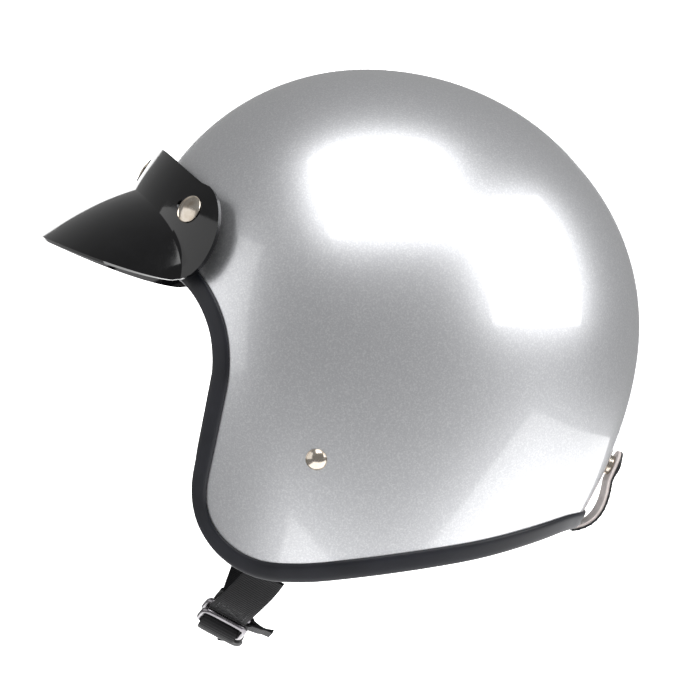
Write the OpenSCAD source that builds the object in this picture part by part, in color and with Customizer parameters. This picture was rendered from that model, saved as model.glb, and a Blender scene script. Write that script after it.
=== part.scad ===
// Open face motorcycle helmet: a peaked visor on three press studs, a double D-ring chin
// strap and a press stud tab at the nape that holds a goggle strap. Millimetres.
// +Z is up, -Y is the wearer's front and +X is the wearer's left. The origin is the
// middle of the wearer's head, level with the widest part of the shell.

/* [Shell] */
// Half of the shell's width
half_width = 119; // [114:1:124]
// Reach of the forehead in front of the origin
front_reach = 131; // [126:1:136]
// Reach of the back of the head behind the origin
back_reach = 145; // [140:1:150]
// Height of the crown above the origin
crown_height = 135; // [130:1:140]
// Thickness of the moulded laminate
shell_t = 4; // [3:0.5:5]

/* [Edge trim] */
// Width of the trim on the outside of the shell
trim_w = 10; // [8:1:12]
// Thickness of the trim's rubber
trim_t = 1.6; // [1.2:0.2:2]

/* [Lining] */
// Thickness of the foam liner
foam_t = 23; // [20:1:26]
// Thickness of the comfort lining in the crown
comfort_t = 5; // [4:1:7]
// Thickness of the cheek pads
cheek_t = 14; // [10:1:16]

/* [Visor] */
// Gap between the shell and the visor's flange
visor_gap = 7.5; // [7:0.5:8]
// Thickness of the visor sheet
visor_t = 2.5; // [2:0.5:3]
// Reach of the visor's peak in front of its side corners
peak_reach = 71; // [60:1:78]

/* [Fasteners] */
// Diameter of a snap cap
cap_d = 14.2; // [13:0.2:15]
// Diameter of the chin strap rivets
rivet_d = 10.4; // [9:0.2:12]

/* [Straps] */
// Width of the chin strap webbing
web_w = 20; // [18:1:25]
// Thickness of the webbing
web_t = 1.8; // [1.4:0.2:2]
// Width of the goggle strap tab
tab_w = 16; // [15:1:20]
// Thickness of the D-rings' wire
wire_d = 3; // [2.4:0.2:3.2]

/* [Hidden] */

// How slowly the lower part narrows at the sides, the front and the back
side_fullness = 250;
front_fullness = 300;
back_fullness = 75;
brow_z = 39;
nape_z = -105;
// Opening edge seen from the side, as [y, z, corner radius], from the brow round to the nape
opening = [[-81, 18.8, 52], [-81, -22, 60], [-91.2, -75, 60], [-91.2, -124, 42],
           [-35, -123.6, 150], [50, -112.8, 400], [96, -103.8, 40]];
half_cols = 40;
foam_gap = 4.2;
foam_d = shell_t + foam_gap;
lining_d = foam_d + foam_t + 0.3;
pad_gap = 1.2;
pad_d = lining_d + comfort_t + pad_gap;
foam_inset = 14;
// Seats of the fasteners on the shell, as [y, z]
rivet_seat = [-32, -63];
side_snap = [-85.7, 52.6];
centre_snap_z = 76;
rear_snap_z = -73;
strap_exit = [-59.5, -126];

/* ---- points and directions on the shell's outer skin ---- */
function unit(v) = v / norm(v);
function narrowing(z, fullness) = sqrt(max(0, 1 - z ^ 2 / (crown_height ^ 2 + fullness * max(0, -z))));
function front_at(z) = front_reach * narrowing(z, front_fullness);
function back_at(z) = back_reach * narrowing(z, back_fullness);
function side_at(z) = half_width * narrowing(z, side_fullness);
// Height above the origin of a point h along the skin's upright curve
function height(h) = h < 0 ? h : crown_height * sin(h / crown_height * 180 / PI);
function along_curve(z) = z < 0 ? z : crown_height * asin(z / crown_height) * PI / 180;
// Skin point at bearing a, which is -90 at the front, 0 at the left and 90 at the back
function skin(a, h) =
    let (z = height(h), f = front_at(z), b = back_at(z), s = sin(a))
    [side_at(z) * cos(a), (b + f) / 2 * s + (b - f) / 2 * s ^ 2, z];
function outward(a, h) =
    h > along_curve(crown_height) - 0.01 ? [0, 0, 1] :
    unit(cross(skin(a + 0.2, h) - skin(a - 0.2, h), skin(a, h + 0.2) - skin(a, h - 0.2)));
function at_depth(a, h, depth) = skin(a, h) - outward(a, h) * depth;
function bearing(y, z) =
    let (m = (back_at(z) + front_at(z)) / 2, q = (back_at(z) - front_at(z)) / 2)
    asin(max(-1, min(1, 2 * y / (m + sqrt(max(0, m * m + 4 * q * y))))));
function side_bearing(x, z) = -acos(max(-1, min(1, x / side_at(z))));
// Turn, about the outward direction n, that points a seat's +X along v
function heading(n, v) =
    let (tilt = acos(n.z), turn = atan2(n.y, n.x))
    atan2(v * [-sin(turn), cos(turn), 0], v * [cos(tilt) * cos(turn), cos(tilt) * sin(turn), -sin(tilt)]);
module on_skin(a, z) {
    n = outward(a, along_curve(z));
    translate(skin(a, along_curve(z))) rotate([0, acos(n.z), atan2(n.y, n.x)]) children();
}

/* ---- the opening's edge ---- */
function yz(p) = [p.x, p.y];
function left_of(v) = [-v.y, v.x];
function open_corners(inset) =
    let (b = brow_z + 1.1 * inset, n = nape_z + inset,
         c = concat([[-front_at(b), b, 0]], opening, [[back_at(n), n, 0]]))
    [for (i = [0:len(c) - 1])
        i == 0 || i == len(c) - 1 ? c[i] :
        let (q = yz(c[i]), p = i == 1 ? [-front_at(brow_z), brow_z] : yz(c[i - 1]),
             s = i == len(c) - 2 ? [back_at(nape_z), nape_z] : yz(c[i + 1]),
             u = left_of(unit(q - p)), v = left_of(unit(s - q)), turn = cross(q - p, s - q))
        concat(q + inset * (u + v) / (1 + u * v), [max(4, c[i][2] - sign(turn) * inset)])];
function bend(p, q, s, r) =
    let (u = unit(p - q), v = unit(s - q), h = acos(u * v) / 2, c = q + unit(u + v) * r / sin(h),
         a = q + u * r / tan(h) - c, b = q + v * r / tan(h) - c, start = atan2(a.y, a.x),
         sweep = (180 - 2 * h) * sign(cross(a, b)), n = max(2, ceil(abs(sweep) / 5)))
    [for (i = [0:n]) c + r * [cos(start + sweep * i / n), sin(start + sweep * i / n)]];
function rounded(c) = [for (i = [0:len(c) - 1]) each
    c[i][2] == 0 ? [yz(c[i])] : bend(yz(c[i - 1]), yz(c[i]), yz(c[i + 1]), c[i][2])];
function subdivided(p, n) = [for (i = [0:len(p) - 2], j = [0:n - 1]) p[i] + (p[i + 1] - p[i]) * j / n];
function lengths(p, i = 0, sum = 0) = i == len(p) - 1 ? [sum] :
    concat([sum], lengths(p, i + 1, sum + norm(p[i + 1] - p[i])));
// Bearing and curve height of the edge's columns, evenly spaced along the edge in space
function edge_half(inset) =
    let (line = concat(subdivided(rounded(open_corners(inset)), 6), [[back_at(nape_z + inset), nape_z + inset]]),
         ah = [for (i = [0:len(line) - 1]) [i == 0 ? -90 : i == len(line) - 1 ? 90 :
               bearing(line[i].x, line[i].y), along_curve(line[i].y)]],
         run = lengths([for (p = ah) skin(p.x, p.y)]), total = run[len(run) - 1])
    [for (k = [0:half_cols]) let (t = total * k / half_cols)
        k == 0 ? ah[0] : k == half_cols ? ah[len(ah) - 1] :
        [lookup(t, [for (i = [0:len(run) - 1]) [run[i], ah[i].x]]),
         lookup(t, [for (i = [0:len(run) - 1]) [run[i], ah[i].y]])]];
function whole(half) = concat(half, [for (k = [half_cols - 1:-1:1]) [180 - half[k].x, half[k].y]]);
edge = whole(edge_half(0));
cols = len(edge);

/* ---- closed solids from grids of points ---- */
// Rows of equal length, each closed into a loop when wrap is true, as a thick sheet
module sheet(outer, inner, wrap = false) {
    r = len(outer);
    c = len(outer[0]);
    last = wrap ? c - 1 : c - 2;
    function o(i, j) = i * c + j % c;
    function n(i, j) = r * c + i * c + j % c;
    polyhedron(concat([for (row = outer) each row], [for (row = inner) each row]), concat(
        [for (i = [0:r - 2], j = [0:last]) each
            [[o(i, j), o(i + 1, j), o(i + 1, j + 1)], [o(i, j), o(i + 1, j + 1), o(i, j + 1)],
             [n(i, j), n(i + 1, j + 1), n(i + 1, j)], [n(i, j), n(i, j + 1), n(i + 1, j + 1)]]],
        [for (j = [0:last]) each
            [[o(0, j), o(0, j + 1), n(0, j + 1)], [o(0, j), n(0, j + 1), n(0, j)],
             [o(r - 1, j), n(r - 1, j + 1), o(r - 1, j + 1)], [o(r - 1, j), n(r - 1, j), n(r - 1, j + 1)]]],
        wrap ? [] : [for (i = [0:r - 2]) each
            [[o(i, 0), n(i, 0), n(i + 1, 0)], [o(i, 0), n(i + 1, 0), o(i + 1, 0)],
             [o(i, c - 1), n(i + 1, c - 1), n(i, c - 1)], [o(i, c - 1), o(i + 1, c - 1), n(i + 1, c - 1)]]]));
}
// Bowl between two depths under the skin, open along the edge moved in by inset
module bowl(inset, outer_d, inner_d, rows) {
    rim = whole(edge_half(inset));
    top = along_curve(crown_height);
    n = len(rim);
    // Bearing at which column k meets the crown; the front columns open out faster, so that
    // none of them leans over the upright front edge
    function fan(s) = s + 0.7 * s * (1 - s) ^ 2;
    function column(k) = k <= half_cols ? -90 + 180 * fan(k / half_cols) : 270 - 180 * fan((n - k) / half_cols);
    function place(k, v) = [rim[k].x + (column(k) - rim[k].x) * (1 - (1 - v) ^ 3), rim[k].y + (top - rim[k].y) * v];
    function layer(d) = concat([for (i = [0:rows - 1], k = [0:n - 1])
        let (p = place(k, i / rows)) at_depth(p.x, p.y, d)], [[0, 0, crown_height - d]]);
    m = rows * n;
    function at(i, k) = i * n + k % n;
    polyhedron(concat(layer(outer_d), layer(inner_d)), concat(
        [for (i = [0:rows - 2], k = [0:n - 1]) each
            [[at(i, k), at(i + 1, k), at(i + 1, k + 1)], [at(i, k), at(i + 1, k + 1), at(i, k + 1)],
             [m + 1 + at(i, k), m + 1 + at(i + 1, k + 1), m + 1 + at(i + 1, k)],
             [m + 1 + at(i, k), m + 1 + at(i, k + 1), m + 1 + at(i + 1, k + 1)]]],
        [for (k = [0:n - 1]) each
            [[at(rows - 1, k), m, at(rows - 1, k + 1)],
             [m + 1 + at(rows - 1, k), m + 1 + at(rows - 1, k + 1), 2 * m + 1],
             [at(0, k), at(0, k + 1), m + 1 + at(0, k + 1)], [at(0, k), m + 1 + at(0, k + 1), m + 1 + at(0, k)]]]));
}
// Pad that follows the edge between columns first and last, from inset_a to inset_b
module edge_pad(first, last, inset_a, inset_b, outer_d, inner_d, rows = 3) {
    rims = [for (i = [0:rows]) whole(edge_half(inset_a + (inset_b - inset_a) * i / rows))];
    function grid(d) = [for (rim = rims) [for (k = [first:2:last]) let (p = rim[(k + cols) % cols]) at_depth(p.x, p.y, d)]];
    sheet(grid(outer_d), grid(inner_d));
}
// Flat webbing along a path, each point with its own width direction
module ribbon(path, across, w, t) {
    n = len(path);
    function way(i) = unit(path[min(n - 1, i + 1)] - path[max(0, i - 1)]);
    function face(i) = unit(cross(way(i), across[i]));
    function row(side) = [for (i = [0:n - 1]) [for (e = [-1, 1])
        path[i] + across[i] * e * w / 2 + face(i) * side * t / 2]];
    sheet(row(1), row(-1));
}

/* ---- shell, trim and lining ---- */
module shell() {
    color("silver") bowl(trim_t, 0, shell_t, 16);
}
// Point at depth d and distance s in from the opening's edge at column k
function by_edge(k, s, d) =
    let (p = edge[k % cols], a = edge[(k + cols - 1) % cols], b = edge[(k + 1) % cols], n = outward(p.x, p.y),
         inward = unit(cross(n, skin(b.x, b.y) - skin(a.x, a.y))))
    skin(p.x, p.y) + inward * s - n * (d + s ^ 2 / 280);
module edge_trim() {
    slack = 0.15;
    lip = trim_t + slack;
    section = [[trim_w, -slack], [trim_w, -lip + 0.6], [trim_w - 1, -lip], [1, -lip], [0, 0], [0, shell_t],
               [1, shell_t + lip], [trim_w - 2, shell_t + lip], [trim_w - 2, shell_t + slack],
               [trim_t - slack, shell_t + slack], [trim_t - slack, -slack]];
    n = len(section);
    color("#33343a")
        polyhedron([for (k = [0:cols - 1], s = section) by_edge(k, s.x, s.y)],
            [for (k = [0:cols - 1], i = [0:n - 1])
                let (a = k * n + i, b = k * n + (i + 1) % n, c = (k + 1) % cols * n + (i + 1) % n,
                     d = (k + 1) % cols * n + i) each [[a, c, b], [a, d, c]]]);
}
module foam_liner() {
    color("#26262a") bowl(foam_inset, foam_d, foam_d + foam_t, 12);
}
module crown_lining() {
    color("#3a3a3e") bowl(foam_inset + 2, lining_d, lining_d + comfort_t, 12);
}
// Band of lining that closes the liner's edge, just inside the trim
module rim_lining() {
    function ring(inset, d) = [for (p = whole(edge_half(inset))) at_depth(p.x, p.y, d)];
    color("#3a3a3e") sheet([for (i = [foam_inset - 3, foam_inset - 0.4]) ring(i, foam_d + 0.2)],
                           [for (i = [foam_inset - 3, foam_inset - 0.4]) ring(i, lining_d + comfort_t)], true);
}
module brow_pad() {
    color("#2b2b2f") edge_pad(-14, 14, 18, 44, pad_d, pad_d + 3);
}
module nape_pad() {
    color("#2b2b2f") edge_pad(half_cols - 8, half_cols + 8, 18, 44, pad_d, pad_d + 5);
}
cheek_centre = [-36, -66];
cheek_reach = [38, 42];
// Crowned pad inside the jaw, an oval with squared-off sides, as rings about its middle
module cheek_pad_left() {
    rings = 4;
    spokes = 28;
    function blunt(v) = sign(v) * abs(v) ^ 0.75;
    function place(i, k) =
        let (t = 360 * k / spokes, y = cheek_centre.x + cheek_reach.x * blunt(cos(t)) * i / rings,
             z = cheek_centre.y + cheek_reach.y * blunt(sin(t)) * i / rings)
        [bearing(y, z), along_curve(z)];
    function layer(full) = concat([for (i = [1:rings], k = [0:spokes - 1]) let (p = place(i, k))
        at_depth(p.x, p.y, pad_d + full * (cheek_t * (1 - 0.5 * (i / rings) ^ 3)))],
        [at_depth(place(0, 0).x, place(0, 0).y, pad_d + full * cheek_t)]);
    m = rings * spokes;
    function at(i, k) = (i - 1) * spokes + k % spokes;
    color("#2b2b2f") polyhedron(concat(layer(0), layer(1)), concat(
        [for (k = [0:spokes - 1]) each
            [[m, at(1, k), at(1, k + 1)], [2 * m + 1, m + 1 + at(1, k + 1), m + 1 + at(1, k)],
             [at(rings, k), m + 1 + at(rings, k), m + 1 + at(rings, k + 1)],
             [at(rings, k), m + 1 + at(rings, k + 1), at(rings, k + 1)]]],
        [for (i = [1:rings - 1], k = [0:spokes - 1]) each
            [[at(i, k), at(i + 1, k), at(i + 1, k + 1)], [at(i, k), at(i + 1, k + 1), at(i, k + 1)],
             [m + 1 + at(i, k), m + 1 + at(i + 1, k + 1), m + 1 + at(i + 1, k)],
             [m + 1 + at(i, k), m + 1 + at(i, k + 1), m + 1 + at(i + 1, k + 1)]]]));
}
module cheek_pad_right() {
    mirrored() cheek_pad_left();
}

/* ---- fasteners ---- */
module mirrored() {
    mirror([1, 0, 0]) children();
}
module rivet() {
    head_h = 2.4;
    ball = (rivet_d ^ 2 / 4 + head_h ^ 2) / (2 * head_h);
    color("#b9b2a8") on_skin(bearing(rivet_seat.x, rivet_seat.y), rivet_seat.y) {
        difference() {
            intersection() {
                translate([0, 0, head_h - ball]) sphere(r = ball, $fn = 64);
                cylinder(d = rivet_d, h = head_h, $fn = 64);
            }
            translate([0, 0, head_h - 0.7]) cylinder(d = 1.6, h = 1, $fn = 24);
        }
        translate([0, 0, -8.1]) cylinder(d = 4, h = 8.4, $fn = 32);
    }
}
module washer() {
    color("#8d8d90") on_skin(bearing(rivet_seat.x, rivet_seat.y), rivet_seat.y)
        translate([0, 0, -8]) difference() {
            cylinder(d = 12, h = 0.8, $fn = 48);
            translate([0, 0, -1]) cylinder(d = 4, h = 3, $fn = 32);
        }
}
module strap_rivet_left() {
    rivet();
}
module strap_rivet_right() {
    mirrored() rivet();
}
module rivet_washer_left() {
    washer();
}
module rivet_washer_right() {
    mirrored() washer();
}
stud_h = 4;
module snap_stud() {
    color("#b9b2a8") {
        cylinder(r = 6, h = 0.8, $fn = 48);
        cylinder(r = 2, h = stud_h, $fn = 32);
        translate([0, 0, stud_h - 1.6]) cylinder(r = 2.5, h = 1.2, $fn = 32);
        translate([0, 0, -shell_t]) cylinder(r = 2, h = shell_t + 0.4, $fn = 32);
    }
}
// Ring that grips a stud; a way out to one side lets the part leave at a slant
module snap_socket(bottom, top, inner_r, way_out) {
    color("#55555a") difference() {
        union() {
            translate([0, 0, bottom]) cylinder(r = 5.6, h = 3.4, $fn = 48);
            translate([0, 0, bottom + 3.4]) cylinder(r = 3.6, h = top - bottom - 3.4, $fn = 48);
        }
        translate([0, 0, bottom - 1]) cylinder(r = inner_r, h = stud_h + 1.4 - bottom, $fn = 48);
        if (way_out != 0)
            rotate([0, 0, way_out]) translate([0, 0.3 - inner_r, bottom - 1])
                cube([8, 2 * inner_r - 0.6, stud_h + 1.4 - bottom]);
        translate([0, 0, bottom]) cylinder(r = 2.2, h = 12, $fn = 32);
    }
}
module snap_cap(seat, shank) {
    cap_h = 2;
    ball = (cap_d ^ 2 / 4 + cap_h ^ 2) / (2 * cap_h);
    color("#c9c2b8") {
        translate([0, 0, seat]) intersection() {
            translate([0, 0, cap_h - ball]) sphere(r = ball, $fn = 64);
            cylinder(d = cap_d, h = cap_h, $fn = 64);
        }
        translate([0, 0, seat - shank]) cylinder(r = 2.1, h = shank + 0.4, $fn = 32);
    }
}
side_bearing_snap = bearing(side_snap.x, side_snap.y);
side_out = outward(side_bearing_snap, along_curve(side_snap.y));
visor_pull = outward(-90, along_curve(centre_snap_z));
pull_heading = heading(side_out, -visor_pull);
slot_heading = heading(side_out, [0, -0.85, 0.53]);
slot_len = 8;
module at_side_snap() {
    on_skin(side_bearing_snap, side_snap.y) children();
}
module at_centre_snap() {
    on_skin(-90, centre_snap_z) children();
}
module at_rear_snap() {
    on_skin(90, rear_snap_z) children();
}
module snap_stud_left() {
    at_side_snap() snap_stud();
}
module snap_stud_right() {
    mirrored() at_side_snap() snap_stud();
}
module snap_stud_centre() {
    at_centre_snap() snap_stud();
}
module snap_stud_rear() {
    at_rear_snap() snap_stud();
}

/* ---- visor ---- */
visor_cols = 20;
flange_rows = 5;
peak_rows = 6;
flange_top = [76, 86, 21.3];
crease = [86, 21, 46];
peak_back = [-100, 22, 25];
ear_bulge = 11;
function flange_place(t, w) =
    let (s = sin(90 * abs(t)), c = cos(90 * t),
         top_x = flange_top[0] * s, top_z = flange_top[1] - flange_top[2] * s ^ 2.2,
         low_x = crease[0] * s, low_z = crease[1] + crease[2] * c,
         x = top_x + (low_x - top_x) * w + ear_bulge * (4 * w * (1 - w)) ^ 0.6 * abs(t) ^ 5)
    [side_bearing(x, top_z + (low_z - top_z) * w), top_z + (low_z - top_z) * w];
function mirror_if(p, t) = t < 0 ? [-p.x, p.y, p.z] : p;
function flange_point(t, w, up) =
    let (q = flange_place(t, w)) at_depth(q.x, along_curve(q.y), -up);
function peak_point(t, v) =
    let (c = cos(90 * t), root = flange_point(t, 1, visor_gap + visor_t),
         tip = [root.x, peak_back[0] - peak_reach * c, peak_back[1] + peak_back[2] * c ^ 1.3])
    root + (tip - root) * v + [0, 0, 2.5 * 4 * v * (1 - v) * c];
function visor_outer(t, i) = mirror_if(i <= flange_rows ? flange_point(t, i / flange_rows, visor_gap + visor_t) :
    peak_point(t, (i - flange_rows) / peak_rows), t);
function visor_inner(t, i) = mirror_if(i < flange_rows ? flange_point(t, i / flange_rows, visor_gap) :
    i == flange_rows ? flange_point(t, 1, visor_gap) + [0, 0, -0.6] :
    peak_point(t, (i - flange_rows) / peak_rows) - visor_t * [sin(90 * abs(t)), 0, cos(90 * t)], t);
module visor() {
    turns = [for (j = [-visor_cols:visor_cols]) j / visor_cols];
    rows = [for (i = [0:flange_rows + peak_rows]) i];
    color("#0c0c0e") difference() {
        sheet([for (i = rows) [for (t = turns) visor_outer(t, i)]],
              [for (i = rows) [for (t = turns) visor_inner(t, i)]]);
        at_centre_snap() cylinder(r = 2.3, h = 20, $fn = 24);
        for (flip = [0, 1]) mirror([flip, 0, 0]) at_side_snap() {
            cylinder(r = 2.3, h = 20, $fn = 24);
            rotate([0, 0, slot_heading]) {
                translate([slot_len, 0, 0]) cylinder(r = 2.3, h = 20, $fn = 24);
                translate([0, -2.3, 0]) cube([slot_len, 4.6, 20]);
            }
        }
    }
}
cap_seat = visor_gap + visor_t + 0.1;
socket_bottom = 1.4;
module visor_cap_centre() {
    at_centre_snap() snap_cap(cap_seat, 4);
}
module visor_cap_left() {
    at_side_snap() snap_cap(cap_seat, 4);
}
module visor_cap_right() {
    mirrored() at_side_snap() snap_cap(cap_seat, 4);
}
module visor_socket_centre() {
    at_centre_snap() snap_socket(socket_bottom, visor_gap - 0.2, 2.9, 0);
}
module visor_socket_left() {
    at_side_snap() snap_socket(socket_bottom, visor_gap - 0.2, 3, pull_heading);
}
module visor_socket_right() {
    mirrored() visor_socket_left();
}

/* ---- goggle strap tab at the nape ---- */
rear_out = outward(90, rear_snap_z);
rear_up = [0, -rear_out.z, rear_out.y];
rear_seat = skin(90, rear_snap_z);
tab_d = 6;
tab_end = [0, 109, -108];
function bezier(a, b, c, d, n) = [for (i = [0:n]) let (t = i / n)
    a * (1 - t) ^ 3 + 3 * b * t * (1 - t) ^ 2 + 3 * c * t ^ 2 * (1 - t) + d * t ^ 3];
tab_top = rear_seat + rear_out * tab_d + rear_up * 9;
tab_low = rear_seat + rear_out * tab_d - rear_up * 8;
tab_path = concat([tab_top, rear_seat + rear_out * tab_d],
                  bezier(tab_low, tab_low + [0, -2, -14], tab_end + [0, 14, 1.5], tab_end, 10));
tab_across = [for (p = tab_path) [1, 0, 0]];
leather_t = 1;
lining_t = 1.4;
function moved(path, by) = [for (i = [0:len(path) - 1])
    let (way = unit(path[min(len(path) - 1, i + 1)] - path[max(0, i - 1)])) path[i] + [0, way.z, -way.y] * by];
module tab_hole() {
    difference() {
        children();
        at_rear_snap() cylinder(r = 2.3, h = 12, $fn = 24);
    }
}
module goggle_tab() {
    color("#1a1a1c") tab_hole() ribbon(moved(tab_path, -leather_t / 2 - 0.05), tab_across, tab_w, leather_t);
}
module goggle_tab_lining() {
    color("#cfc8c2") tab_hole() ribbon(moved(tab_path, lining_t / 2 + 0.05), tab_across, tab_w - 1, lining_t);
}
module goggle_tab_cap() {
    at_rear_snap() snap_cap(tab_d + leather_t + 0.2, 2.8);
}
module goggle_tab_socket() {
    top = tab_d - lining_t - 0.1;
    color("#55555a") at_rear_snap() difference() {
        translate([0, 0, socket_bottom]) cylinder(r = 5.4, h = top - socket_bottom, $fn = 48);
        cylinder(r = 4.1, h = stud_h + 0.15, $fn = 48);
        cylinder(r = 2.1, h = 12, $fn = 32);
    }
}
module goggle_tab_anchor() {
    color("#1a1a1c") ribbon([tab_end + [0, -1.5, 0.3], tab_end + [0, -6, 2], tab_end + [0, -9.5, 8],
                             tab_end + [0, -9.5, 15]],
                            [for (i = [0:3]) [1, 0, 0]], tab_w, 1.6);
}

/* ---- chin strap ---- */
function strap_place(t, depth) =
    let (p = rivet_seat + (strap_exit - rivet_seat) * t) at_depth(bearing(p.x, p.y), along_curve(p.y), depth);
anchor_depth = 6.1;
exit_depth = 8.2;
exit_start = 0.68;
exit_run = 0.17;
anchor_t = [-0.12, 0, 0.16, 0.32, 0.48, 0.64, 0.73, 0.78, 0.87, 0.93];
anchor_path = [for (t = anchor_t)
    strap_place(t, anchor_depth + (exit_depth - anchor_depth) * max(0, min(1, (t - exit_start) / exit_run)))];
function anchor_across(i) =
    let (p = rivet_seat + (strap_exit - rivet_seat) * anchor_t[i],
         way = unit(anchor_path[min(9, i + 1)] - anchor_path[max(0, i - 1)]))
    unit(cross(outward(bearing(p.x, p.y), along_curve(p.y)), way));
module strap_anchor_left() {
    color("#141416") ribbon(anchor_path, [for (i = [0:9]) anchor_across(i)], web_w, web_t);
}
module strap_anchor_right() {
    mirrored() strap_anchor_left();
}
hang = strap_place(0.96, exit_depth);
hang_across = anchor_across(9);
bar_across = unit([0, 0.877, -0.48]);
ring_mid = [50, -73.5, -145];
strap_low = [0, -74, -161];
tail_end = strap_low + [-16, 0, -4.2];
ring_slope = [-0.88, -0.02, -0.47];
ring_way = unit(ring_slope - (ring_slope * bar_across) * bar_across);
ring_face = unit(cross(bar_across, ring_way));
slack = 0.3;
ring_gap = wire_d + web_t + 2 * slack;
ring_depth = 18;
bar_wrap_r = wire_d / 2 + slack + web_t / 2;
arc_wrap_r = bar_wrap_r + ring_gap / 2;
function wrap(centre, way, r, n) = [for (i = [0:n]) let (a = -90 + 180 * i / n)
    centre + r * (cos(a) * way + sin(a) * ring_face)];
function blend(a, b, t) = unit(a * (1 - t) + b * t);
inner_bar = ring_mid + ring_face * ring_gap / 2;
bar_loop = wrap(inner_bar, ring_way, bar_wrap_r, 8);
module chin_strap_left() {
    down = bezier(hang, hang + [-9, -5, -9], bar_loop[0] - ring_way * 14, bar_loop[0], 6);
    up = [for (i = [1:3]) bar_loop[8] - ring_way * 5 * i];
    path = concat(down, [for (i = [1:8]) bar_loop[i]], up);
    color("#141416") ribbon(path,
        [for (i = [0:len(path) - 1]) blend(hang_across, bar_across, min(1, i / 6))], web_w, web_t);
}
module chin_strap_right() {
    arc_mid = ring_mid + ring_way * ring_depth;
    arc_loop = wrap(arc_mid, -ring_way, arc_wrap_r, 8);
    right = [-hang.x, hang.y, hang.z];
    across_r = [-hang_across.x, hang_across.y, hang_across.z];
    rise = bezier(right, right + [9, -5, -9], strap_low + [-36, 3, -1], strap_low, 8);
    main = bezier(strap_low, strap_low + [10, 0, 0.5], arc_loop[8] + ring_way * 8, arc_loop[8], 4);
    tail = bezier(arc_loop[0], arc_loop[0] + ring_way * 8, tail_end + [14, 0, 0], tail_end, 5);
    path = concat(rise, [for (i = [1:4]) main[i]], [for (i = [7:-1:0]) arc_loop[i]], [for (i = [1:5]) tail[i]]);
    color("#141416") ribbon(path, [for (i = [0:len(path) - 1])
        i < 9 ? blend(across_r, bar_across, i / 8) : bar_across], web_w, web_t);
}
module d_ring(offset) {
    half_bar = web_w / 2 + 1.5;
    corner = 4;
    bulge = 1.15;
    origin = ring_mid + ring_face * offset;
    m = [[ring_way.x, bar_across.x, ring_face.x, origin.x], [ring_way.y, bar_across.y, ring_face.y, origin.y],
         [ring_way.z, bar_across.z, ring_face.z, origin.z], [0, 0, 0, 1]];
    color("#77757a") multmatrix(m) {
        for (x = [0, ring_depth]) let (half = x == 0 ? half_bar : half_bar - corner)
            translate([x, -half, 0]) rotate([-90, 0, 0]) cylinder(d = wire_d, h = 2 * half, $fn = 32);
        for (side = [-1, 1]) {
            translate([0, side * half_bar, 0]) {
                sphere(d = wire_d * bulge, $fn = 32);
                rotate([0, 90, 0]) cylinder(d = wire_d, h = ring_depth - corner, $fn = 32);
            }
            translate([ring_depth - corner, side * (half_bar - corner), 0])
                rotate([0, 0, side > 0 ? 0 : -90]) rotate_extrude(angle = 90, $fn = 64)
                    translate([corner, 0]) circle(d = wire_d, $fn = 32);
        }
    }
}
module d_ring_outer() {
    d_ring(-ring_gap / 2);
}
module d_ring_inner() {
    d_ring(ring_gap / 2);
}
module strap_end_snap() {
    color("#55555a") translate(strap_low + [-8, 0, -6.3]) {
        cylinder(r = 5, h = 1, $fn = 48);
        cylinder(r = 1.8, h = 6, $fn = 32);
    }
}
tab_root = ring_mid + bar_across * (web_w / 2 + 1.5 + wire_d / 2 + slack) + ring_way * 6 + ring_face * ring_gap / 2;
module release_tab() {
    color("#1d1d20") ribbon([tab_root, tab_root + bar_across * 5, tab_root + [0, 10.4, -4.4]],
                            [for (i = [0:2]) ring_way], 9, 1.6);
}

shell();
edge_trim();
foam_liner();
crown_lining();
rim_lining();
brow_pad();
nape_pad();
cheek_pad_left();
cheek_pad_right();
strap_rivet_left();
strap_rivet_right();
rivet_washer_left();
rivet_washer_right();
strap_anchor_left();
strap_anchor_right();
visor();
visor_cap_left();
visor_cap_centre();
visor_cap_right();
visor_socket_left();
visor_socket_centre();
visor_socket_right();
snap_stud_left();
snap_stud_centre();
snap_stud_right();
snap_stud_rear();
goggle_tab();
goggle_tab_lining();
goggle_tab_cap();
goggle_tab_socket();
goggle_tab_anchor();
chin_strap_left();
chin_strap_right();
d_ring_outer();
d_ring_inner();
strap_end_snap();
release_tab();
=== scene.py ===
"""An open face motorcycle helmet, put together in the order it is made: lacquered shell,
rubber trim, lining, chin strap, visor and goggle strap tab. Metres, +Z up, -Y to the front."""
import bpy, math
from mathutils import Matrix, Vector


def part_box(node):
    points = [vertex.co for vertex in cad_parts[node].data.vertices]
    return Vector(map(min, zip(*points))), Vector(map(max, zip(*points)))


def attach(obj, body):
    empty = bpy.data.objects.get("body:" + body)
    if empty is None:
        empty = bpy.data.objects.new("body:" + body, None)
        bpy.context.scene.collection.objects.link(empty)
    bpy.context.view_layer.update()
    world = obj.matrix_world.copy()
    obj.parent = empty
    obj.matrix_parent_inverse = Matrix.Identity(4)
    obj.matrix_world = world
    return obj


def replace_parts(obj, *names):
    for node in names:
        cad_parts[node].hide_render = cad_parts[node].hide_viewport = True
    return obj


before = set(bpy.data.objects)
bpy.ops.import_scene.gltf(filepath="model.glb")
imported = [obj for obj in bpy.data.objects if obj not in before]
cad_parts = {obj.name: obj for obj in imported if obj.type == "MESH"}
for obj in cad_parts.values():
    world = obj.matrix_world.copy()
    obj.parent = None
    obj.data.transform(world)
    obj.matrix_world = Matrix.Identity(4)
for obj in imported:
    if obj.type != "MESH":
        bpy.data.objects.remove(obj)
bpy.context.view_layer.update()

mm = 0.001


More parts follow.
